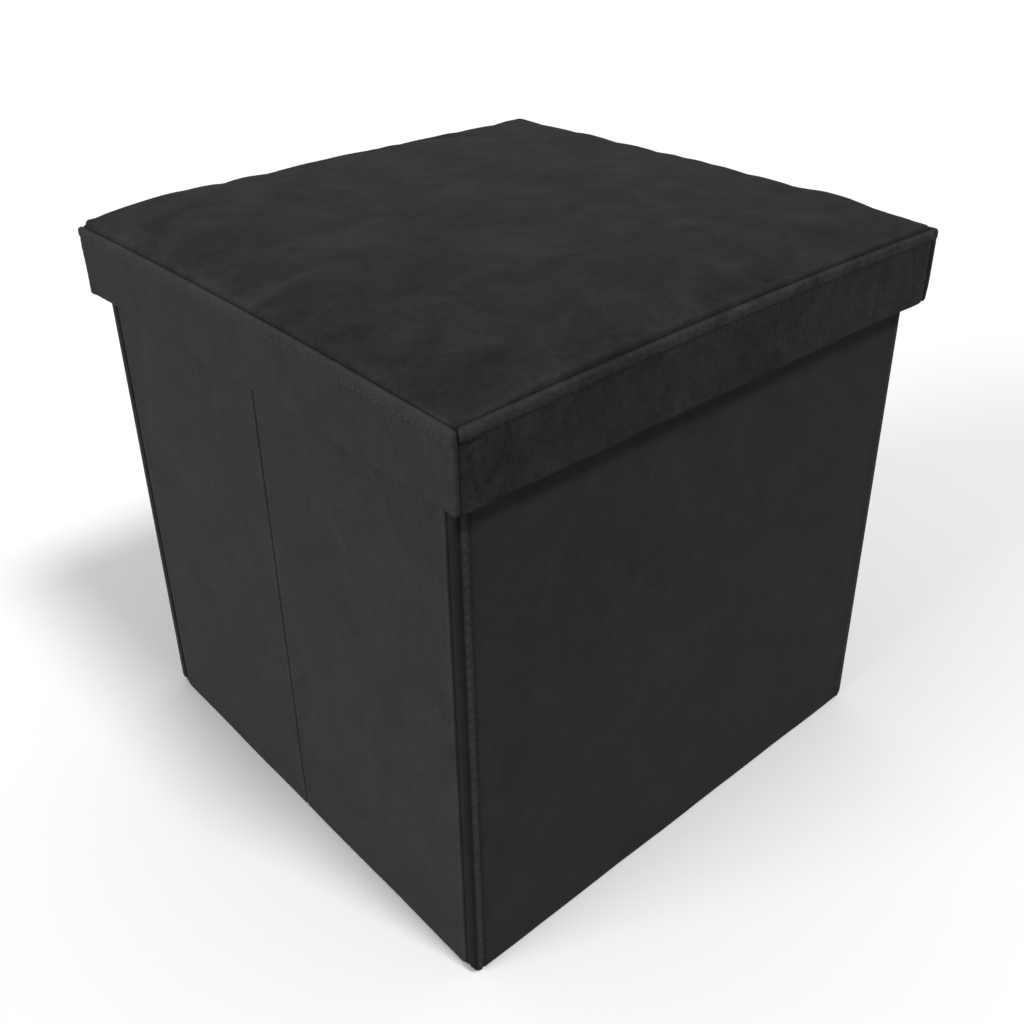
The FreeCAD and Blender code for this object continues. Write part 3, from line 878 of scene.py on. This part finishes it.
def pull_ribbon():
    """The folded grosgrain tab that lifts the base."""
    low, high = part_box("base_pull_ribbon")
    thick = 0.2 * MM
    lower, upper = low.z + thick, low.z + 0.46 * MM
    bend = (upper - lower) / 2
    path = [(high.y - 0.5 * MM, lower)]
    for angle in np.linspace(-90, 90, 9):
        turn = math.radians(angle)
        y = low.y + 1.4 * MM - bend * 2 * math.cos(turn)
        path.append((y, (lower + upper) / 2 + bend * math.sin(turn)))
    path.append((high.y - 1 * MM, upper))
    ys = []
    for (ya, za), (yb, zb) in zip(path, path[1:]):
        count = max(1, round(abs(yb - ya) / (1.2 * MM)))
        for t in np.linspace(0, 1, count, endpoint=False):
            ys.append((ya + (yb - ya) * t, za + (zb - za) * t))
    ys.append(path[-1])
    xs = np.linspace(low.x, high.x, 15)
    curl = 0.03 * MM
    points = []
    for y, z in ys:
        for x in xs:
            wave = curl * math.cos(math.pi * (x - low.x) / (high.x - low.x) * 2)
            points.append((x, y, z + wave))
    faces = grid_faces(len(ys), len(xs))
    obj = new_object("base_pull_tab", np.array(points), faces, RIBBON)
    thicken(obj, thick)
    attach(obj, "base_plate")
    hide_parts("base_pull_ribbon")
    rows = []
    for y in (high.y - 3.2 * MM, high.y - 8.2 * MM):
        rows.append([(x, y, upper - 0.24 * MM) for x in np.linspace(low.x + 1 * MM, high.x - 1 * MM, 12)])
    for number, row in enumerate(rows, 1):
        stitches(f"pull_tab_stitches_{number}", row, UP, "base_plate", 3.9 * MM)


def bottom_cloth():
    """The non-woven sheet that closes the underside, laid flat and riding on the front panel."""
    low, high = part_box("bottom_cloth")
    high += Vector((0, 0.7 * MM, 0))
    obj = flat_cloth("bottom_closing_cloth", low, high, high.z)
    thicken(obj, LINING)
    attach(obj, "front_panel")
    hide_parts("bottom_cloth")
    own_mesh(obj)


# ---------------------------------------------------------------- lid


LID_HALF = reach("lid_skirt_front", Vector((1, 0, 0)))[1]
LID_TOP = reach("lid_top_cover", UP)[1]
SKIRT_FOOT = reach("lid_skirt_front", UP)[0]
SKIRT_INNER = reach("lid_skirt_left", Vector((1, 0, 0)))[1] * -1
# The height of the top seam over each corner (left or right, front or back), and how far it bows up between.
SEAM_CORNERS = {(-1, -1): 364.6 * MM, (1, -1): 368.2 * MM, (-1, 1): 366 * MM, (1, 1): 369 * MM}
SEAM_BOW = 2.8 * MM
SEAM_LOWEST = min(SEAM_CORNERS.values())
NEAR_FALL, FAR_FALL = 9 * MM, 3.2 * MM  # how far the cushion falls from its middle to each pair of edges
NEAR_ROLL, FAR_ROLL = 2.6 * MM, 10 * MM  # how wide the cushion's edges roll down to the seam
STIFFENER_TOP = reach("lid_skirt_board_front", UP)[1] + 1 * MM
STIFFENER_OUT = reach("lid_skirt_board_front", Vector((0, -1, 0)))[1]
STIFFENER_END = reach("lid_skirt_board_front", Vector((1, 0, 0)))[1] + 0.6 * MM
BAND = 7 * MM  # from the top seam to the topstitching
SEAM_IN = 2.5 * MM  # from the skirt's face to the crevice of the top seam


def seam_height(x, y):
    """The height of the top seam at a point of the lid's outline, and a smooth height between."""
    s, t = x / LID_HALF, y / LID_HALF
    height = 0
    for (x_sign, y_sign), corner in SEAM_CORNERS.items():
        height = height + corner * (1 + x_sign * s) * (1 + y_sign * t) / 4
    return height + SEAM_BOW * (1 - np.minimum(s * s, t * t))


def side_seam(side, u):
    """The height of the top seam at u along a side."""
    along, out = SIDES[side]
    return seam_height(u * along.x + LID_HALF * out.x, u * along.y + LID_HALF * out.y)


def edge_fall(s):
    """How far the cushion has fallen at s, from -1 at the front or left edge to 1."""
    return np.where(s < 0, NEAR_FALL * s**4, FAR_FALL * s**2)


def edge_over(value):
    """How far into its edge roll a coordinate is, from 0 to 1."""
    roll = np.where(value < 0, NEAR_ROLL, FAR_ROLL)
    return np.clip((np.abs(value) - (LID_HALF - SEAM_IN - roll)) / roll, 0, 1)


def cushion_height(x, y):
    """The height of the lid's cushion: slightly domed, rolling down to its seam all round."""
    s, t = x / LID_HALF, y / LID_HALF
    both = np.minimum(edge_fall(s) * t * t, edge_fall(t) * s * s)
    crown = LID_TOP - edge_fall(s) - edge_fall(t) + both * ((s > 0) | (t > 0))
    over = np.hypot(edge_over(x), edge_over(y))
    roll = np.sqrt(np.clip(1 - over**2, 0, 1))
    seam = seam_height(x, y)
    return seam + np.maximum(crown - seam, 0.9 * MM) * roll


FOLD_DEPTH = 1.35  # how much deeper than listed the skirts' wrinkles are made
BAND_STRENGTH = {"front": 1.0, "left": 0.45, "right": 0.8, "back": 0.9}

# Sewn-in wrinkles in the skirts: (start, end, width, height) along and up each face.
SKIRT_FOLDS = {
    "left": [((0.1390, 0.3560), (0.1580, 0.3235), 2.6 * MM, -0.42 * MM),
             ((0.1460, 0.3540), (0.1665, 0.3245), 2.6 * MM, -0.36 * MM),
             ((0.1425, 0.3540), (0.1620, 0.3240), 3.0 * MM, 0.28 * MM),
             ((0.1740, 0.3560), (0.1765, 0.3300), 2.0 * MM, -0.2 * MM),
             ((-0.1250, 0.3300), (-0.1800, 0.3270), 3.0 * MM, -0.35 * MM)],
    "front": [((-0.1850, 0.3610), (-0.1755, 0.3620), 2.6 * MM, 0.6 * MM),
              ((-0.1840, 0.3555), (-0.1760, 0.3565), 1.4 * MM, -0.6 * MM),
              ((-0.1836, 0.3500), (-0.1772, 0.3250), 1.1 * MM, -0.6 * MM),
              ((-0.1800, 0.3520), (-0.1748, 0.3240), 1.4 * MM, 0.4 * MM),
              ((-0.1730, 0.3585), (-0.1712, 0.3505), 1.0 * MM, -0.5 * MM),
              ((-0.1612, 0.3600), (-0.1570, 0.3440), 1.1 * MM, -0.5 * MM),
              ((-0.1500, 0.3560), (-0.1440, 0.3260), 3.0 * MM, -0.3 * MM),
              ((-0.1300, 0.3620), (-0.1220, 0.3330), 2.6 * MM, -0.25 * MM),
              ((0.1640, 0.3600), (0.1720, 0.3300), 2.4 * MM, -0.4 * MM)],
    "right": [((-0.1900, 0.3640), (-0.1860, 0.3340), 9.0 * MM, 1.7 * MM),
              ((-0.1700, 0.3600), (-0.1640, 0.3300), 2.2 * MM, -0.35 * MM),
              ((0.1500, 0.3600), (0.1620, 0.3280), 2.2 * MM, -0.35 * MM)],
    "back": [((-0.1690, 0.3580), (-0.1620, 0.3280), 2.2 * MM, -0.35 * MM),
             ((0.1560, 0.3600), (0.1660, 0.3300), 2.2 * MM, -0.35 * MM)],
}


# Soft dents in the cushion's top: (start, end, width, height) in x and y.
TOP_FOLDS = [
    ((-0.150, -0.150), (-0.120, -0.118), 6 * MM, -0.35 * MM),
    ((-0.165, -0.135), (-0.128, -0.105), 7 * MM, 0.3 * MM),
    ((0.110, -0.160), (0.150, -0.120), 8 * MM, -0.35 * MM),
    ((-0.010, -0.140), (0.060, -0.150), 9 * MM, -0.25 * MM),
    ((-0.150, 0.060), (-0.090, 0.110), 10 * MM, -0.25 * MM),
    ((0.020, 0.030), (0.080, -0.010), 12 * MM, -0.25 * MM),
]


def skirt_relief(side, u, v, half):
    """How far a skirt's velvet stands out: the folded band, the topstitching and the wrinkles."""
    seed = 11 + sorted(SIDES).index(side)
    below = side_seam(side, u) - v
    strength = BAND_STRENGTH[side]
    beat = np.cos(TAU * u / STITCH_PITCH)
    pillow = np.sqrt(np.clip(1 - ((below - 0.52 * BAND) / (0.5 * BAND)) ** 2, 0, 1))
    relief = strength * 1.05 * MM * pillow * (1 + 0.16 * wander(u, v, seed + 30, 11 * MM))
    relief -= strength * 0.6 * MM * hump(below - BAND, 0.85 * MM) * (0.8 + 0.2 * beat)
    relief += strength * 0.16 * MM * beat * hump(below - 0.8 * BAND, 1.4 * MM)
    relief += strength * 0.12 * MM * beat * hump(below - BAND - 2 * MM, 1.4 * MM)
    calm = smooth_step(below, BAND, BAND + 6 * MM)
    relief += calm * strength * 0.22 * MM * wander(u, 0.35 * v, seed, 16 * MM)
    relief += calm * 0.28 * MM * wander(u, v, seed + 7, 48 * MM)
    ends = half - np.abs(u)
    pucker = np.cos(TAU * v / (5.2 * MM) + 1.3)
    relief += 0.22 * MM * pucker * hump(ends - 3.5 * MM, 2.6 * MM)
    relief += FOLD_DEPTH * folds(u, v, SKIRT_FOLDS[side])
    if side in ("front", "back"):
        relief -= 0.8 * MM * smooth_step(np.abs(u), half - 6 * MM, half)
    backed = (v < STIFFENER_TOP) & (np.abs(u) < STIFFENER_END)
    return np.where(backed, np.maximum(relief, CLOTH + STIFFENER_OUT - LID_HALF + 0.05 * MM), relief)


def skirt_painted_light(side, u, v, outward):
    """Painted light on a skirt: a painted highlight on the folded band, painted shade in the topstitched
    groove.
    """
    below = side_seam(side, u) - v
    strength = BAND_STRENGTH[side]
    band = smooth_step(below, -1 * MM, 1 * MM) * (1 - smooth_step(below, 0.7 * BAND, BAND))
    beat = np.cos(TAU * u / STITCH_PITCH)
    groove = hump(below - BAND, 0.8 * MM) * (0.75 + 0.25 * beat)
    # Painted highlight on the band, painted shade in the groove.
    return 1 + outward * strength * (0.3 * band - 0.4 * groove)


def skirt(side):
    """One side of the lid's skirt: velvet round its stiffener, hemmed, banded and topstitched."""
    along, out = SIDES[side]
    wraps = side in ("left", "right")
    half = LID_HALF - (0.3 * MM if wraps else 2.9 * MM)
    top = SEAM_LOWEST
    height = top - SKIRT_FOOT
    inner = SKIRT_INNER + 0.3 * MM
    thick = LID_HALF - inner
    us = edged_lines(-half, half, 45 * MM, 0.75 * MM, 1.15 * MM)
    vs = grid_lines(-height / 2, (-height / 2 + 3 * MM, 0.6 * MM), (height / 2 - 11 * MM, 1.3 * MM),
                    (height / 2, 0.5 * MM))
    points, faces = box_surface(us, vs, through(thick))
    size = (2 * half, height, thick)
    shaped = rounded(points, size, 2.4 * MM, 1.45 * MM)
    u = shaped[:, 0]
    v = shaped[:, 1] + (top + SKIRT_FOOT) / 2
    lift = side_seam(side, u) - top
    share = smooth_step(top - v, height - 6 * MM, BAND + 2 * MM)
    wavy = 0.4 * MM * wander(u, 0 * u, 70 + sorted(SIDES).index(side), 60 * MM)
    droop = 0.9 * MM * smooth_step(np.abs(u), half - 14 * MM, half) if wraps else 0.3 * MM
    low_share = 1 - smooth_step(v - SKIRT_FOOT, 0, 14 * MM)
    v_new = v + share * lift + low_share * (wavy - droop)
    front_share = smooth_step(shaped[:, 2], -0.2 * thick, thick / 2)
    shaped[:, 2] += front_share * skirt_relief(side, u, v_new, half)
    shaped[:, 1] = v_new - (top + SKIRT_FOOT) / 2
    kept = turned_in(points, faces, size)
    world = to_world(shaped, side, (0, (top + SKIRT_FOOT) / 2, (inner + LID_HALF) / 2))
    # The left skirt keeps the plain velvet; the other skirts take the darker copy, painted shade.
    cloth = VELVET if side == "left" else SHADED_SKIRT_VELVET
    # The skirt's painted highlight and painted shade, multiplied into its velvet colour.
    painted_light = skirt_painted_light(side, u, v_new, front_share)
    obj = thicken(new_object(f"lid_skirt_{side}_velvet", world, kept, cloth, painted_light), CLOTH)
    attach(obj, "lid")
    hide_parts(f"lid_skirt_{side}")
    row = np.linspace(-half + 4 * MM, half - 4 * MM, 160)
    ups = side_seam(side, row) - BAND
    outs = LID_HALF + skirt_relief(side, row, ups, half) + 0.05 * MM
    stitches(f"lid_skirt_{side}_topstitching", side_line(side, row, ups, outs), out, "lid")


def skirt_lining(side):
    """The non-woven facing inside one side of the skirt."""
    along, out = SIDES[side]
    node = f"lid_skirt_lining_{side}"
    low, high = reach(node, along)
    inner, outer = reach(node, out)
    foot, head = reach(node, UP)
    foot += 2.5 * MM
    low, high = low + 0.5 * MM, high - 0.5 * MM
    us = grid_lines(low, (high, 2.25 * MM))
    vs = grid_lines(foot, (foot + 6 * MM, 0.6 * MM), (head, 3 * MM))
    u, v = grid_points(us, vs)
    w = (inner + outer) / 2 + 0.1 * MM * np.clip(wander(u, v, 90 + len(side), 30 * MM), -1, 1)
    w += 0.2 * MM * hump(v - foot - 3 * MM, 0.8 * MM)
    faces = grid_faces(len(us), len(vs))
    obj = hang_lining(f"lid_skirt_{side}_facing", side, faces, (u, v, w), node, "lid")
    row = np.linspace(low + 4 * MM, high - 4 * MM, 80)
    line = side_line(side, row, foot + 3 * MM, inner + 0.35 * MM)
    stitches(f"lid_skirt_{side}_facing_stitches", line, -out, "lid")


def lid_lining():
    """The non-woven sheet under the lid's board."""
    low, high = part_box("lid_lining")
    obj = flat_cloth("lid_inner_lining", low, high, high.z)
    for vertex in obj.data.vertices:
        x, y = np.array([vertex.co.x]), np.array([vertex.co.y])
        vertex.co.z -= 0.1 * MM * (1 + float(wander(x, y, 22, 50 * MM)[0]))
    thicken(obj, LINING)
    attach(obj, "lid")
    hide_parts("lid_lining")


def cushion_mesh():
    """The lid's foam and top velvet as one closed crowned form, its edge rolled down to the seam."""
    half = LID_HALF - SEAM_IN
    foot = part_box("lid_foam")[0].z + 0.3 * MM
    lines = edged_lines(-half, half, 12 * MM, 1.2 * MM, 4.5 * MM)
    tall = SEAM_LOWEST - foot
    ws = grid_lines(-tall / 2, (tall / 2, 2.6 * MM))
    points, faces = box_surface(lines, lines, ws)
    world = rounded(points, (2 * half, 2 * half, tall), 5 * MM, 0.8 * MM)
    x, y = world[:, 0], world[:, 1]
    up = (world[:, 2] + tall / 2) / tall
    world[:, 2] = foot + up * (cushion_height(x, y) - foot)
    held = points[:, 2] < tall / 2 - TINY
    held |= np.abs(points[:, :2]).max(axis=1) > half - 1.6 * MM
    # Painted highlight along the cushion's rolled edge.
    painted_light = 1 + 0.1 * hump(half - np.abs(points[:, :2]).max(axis=1) - 2.5 * MM, 2.5 * MM)
    obj = new_object("lid_cushion", world, faces, SHADED_TOP_VELVET, painted_light)
    return obj, np.flatnonzero(held)


def inflate(obj, held, pressure, grow, frames, cap):
    """Lets the cushion's velvet swell and wrinkle as cloth over its filling, and keeps the result."""
    before = places(obj)
    group = obj.vertex_groups.new(name="held")
    group.add([int(i) for i in held], 1.0, "REPLACE")
    cloth = obj.modifiers.new("cloth", "CLOTH")
    settings = cloth.settings
    settings.quality = 6
    settings.mass = 0.25
    settings.tension_stiffness = 25
    settings.compression_stiffness = 25
    settings.shear_stiffness = 8
    settings.bending_stiffness = 0.6
    settings.use_pressure = True
    settings.uniform_pressure_force = pressure
    settings.shrink_min = -grow
    settings.vertex_group_mass = "held"
    settings.effector_weights.gravity = 0
    scene = bpy.context.scene
    for number in range(1, frames + 1):
        scene.frame_set(number)
    settle(obj)
    scene.frame_set(1)
    moved = places(obj) - before
    size = np.linalg.norm(moved, axis=1)
    print("cushion: cloth moved at most", round(float(size.max()) / MM, 2), "mm")
    scale = cap / np.maximum(size, cap)
    move_to(obj, before + moved * scale[:, None])
    obj.vertex_groups.clear()


def lid_cushion():
    obj, held = cushion_mesh()
    inflate(obj, held, pressure=0.25, grow=0.004, frames=20, cap=1.2 * MM)
    finer = obj.modifiers.new("finer", "SUBSURF")
    finer.levels = 1
    finer.render_levels = 1
    settle(obj)
    points = places(obj)
    x, y = points[:, 0], points[:, 1]
    edge = LID_HALF - SEAM_IN - np.maximum(np.abs(x), np.abs(y))
    calm = smooth_step(edge, 1 * MM, 14 * MM) * (points[:, 2] > SEAM_LOWEST - 2 * MM)
    relief = 0.3 * MM * wander(x, y, 31, 85 * MM) + 0.12 * MM * wander(x, y, 32, 28 * MM)
    relief += folds(x, y, TOP_FOLDS)
    points[:, 2] += calm * relief
    move_to(obj, points)
    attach(obj, "lid")
    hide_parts("lid_top_cover", "lid_foam")


# ---------------------------------------------------------------- scene


def paint_frame():
    """Gives the CAD nodes that stay their own materials."""
    for name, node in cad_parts.items():
        if "skirt_board" in name:
            material = CARDBOARD
        elif name.endswith("board"):
            material = BOARD
        else:
            continue
        node.data.materials.clear()
        node.data.materials.append(material)


def floor():
    """A wide pale floor."""
    wide = 6
    mesh = bpy.data.meshes.new("floor")
    corners = [(-wide, -wide, 0), (wide, -wide, 0), (wide, wide, 0), (-wide, wide, 0)]
    mesh.from_pydata(corners, [], [(0, 1, 2, 3)])
    mesh.materials.append(floor_paint("pale_floor", (0.34, 0.34, 0.34)))
    obj = bpy.data.objects.new("floor", mesh)
    bpy.context.scene.collection.objects.link(obj)
    obj.location.z = -0.4 * MM


def far_light(name, place, spread, power):
    """A large far light that shines from place towards the origin, spread degrees across."""
    data = bpy.data.lights.new(name, "SUN")
    data.angle = math.radians(spread)
    data.energy = power
    obj = bpy.data.objects.new(name, data)
    bpy.context.scene.collection.objects.link(obj)
    obj.location = place
    obj.rotation_euler = (-Vector(place)).to_track_quat("-Z", "Y").to_euler()


def lighting():
    """White studio light: a sky that is brighter overhead, a soft key from the left and one from above."""
    world = bpy.data.worlds.new("studio")
    bpy.context.scene.world = world
    world.use_nodes = True
    tree = world.node_tree
    background = tree.nodes["Background"]
    background.inputs["Color"].default_value = (1, 1, 1, 1)
    where = tree.nodes.new("ShaderNodeTexCoord")
    parts = tree.nodes.new("ShaderNodeSeparateXYZ")
    brightness = tree.nodes.new("ShaderNodeMapRange")
    brightness.inputs["From Min"].default_value = 0.1
    brightness.inputs["From Max"].default_value = 1
    brightness.inputs["To Min"].default_value = 1.0
    brightness.inputs["To Max"].default_value = 1.3
    tree.links.new(where.outputs["Generated"], parts.inputs[0])
    tree.links.new(parts.outputs["Z"], brightness.inputs["Value"])
    tree.links.new(brightness.outputs["Result"], background.inputs["Strength"])
    far_light("key", (-2.7, 0.5, 0.85), 34, 6.2)
    far_light("overhead", (0.2, -1.6, 2.55), 12, 4.6)
    bpy.context.scene.view_settings.view_transform = "Standard"


def camera():
    """The photograph's view: a corner of the object, seen from a little above."""
    azimuth, elevation, roll = math.radians(-41.39), math.radians(28.77), math.radians(-0.72)
    target = Vector((63.02, 57.31, 162.29)) * MM
    distance = 888.19 * MM
    back = Vector((math.sin(azimuth) * math.cos(elevation), -math.cos(azimuth) * math.cos(elevation),
                   math.sin(elevation)))
    data = bpy.data.cameras.new("camera")
    data.sensor_width = 36
    data.lens = 40.39
    data.shift_x = -0.0041
    data.shift_y = -0.0604
    data.clip_end = 20
    obj = bpy.data.objects.new("camera", data)
    bpy.context.scene.collection.objects.link(obj)
    obj.rotation_mode = "QUATERNION"
    obj.rotation_quaternion = (-back).to_track_quat("-Z", "Y") @ Quaternion((0, 0, 1), roll)
    obj.location = target + back * distance
    bpy.context.scene.camera = obj


camera()
lighting()
floor()
paint_frame()
for panel in PANELS:
    wall_skin(panel)
    wall_lining(panel)
for x_sign in (-1, 1):
    crease_web(x_sign)
    for y_sign in (-1, 1):
        corner_web(x_sign, y_sign)
base_cloths()
base_hinge()
pull_ribbon()
bottom_cloth()
for lid_side in SIDES:
    skirt(lid_side)
    skirt_lining(lid_side)
lid_lining()
lid_cushion()
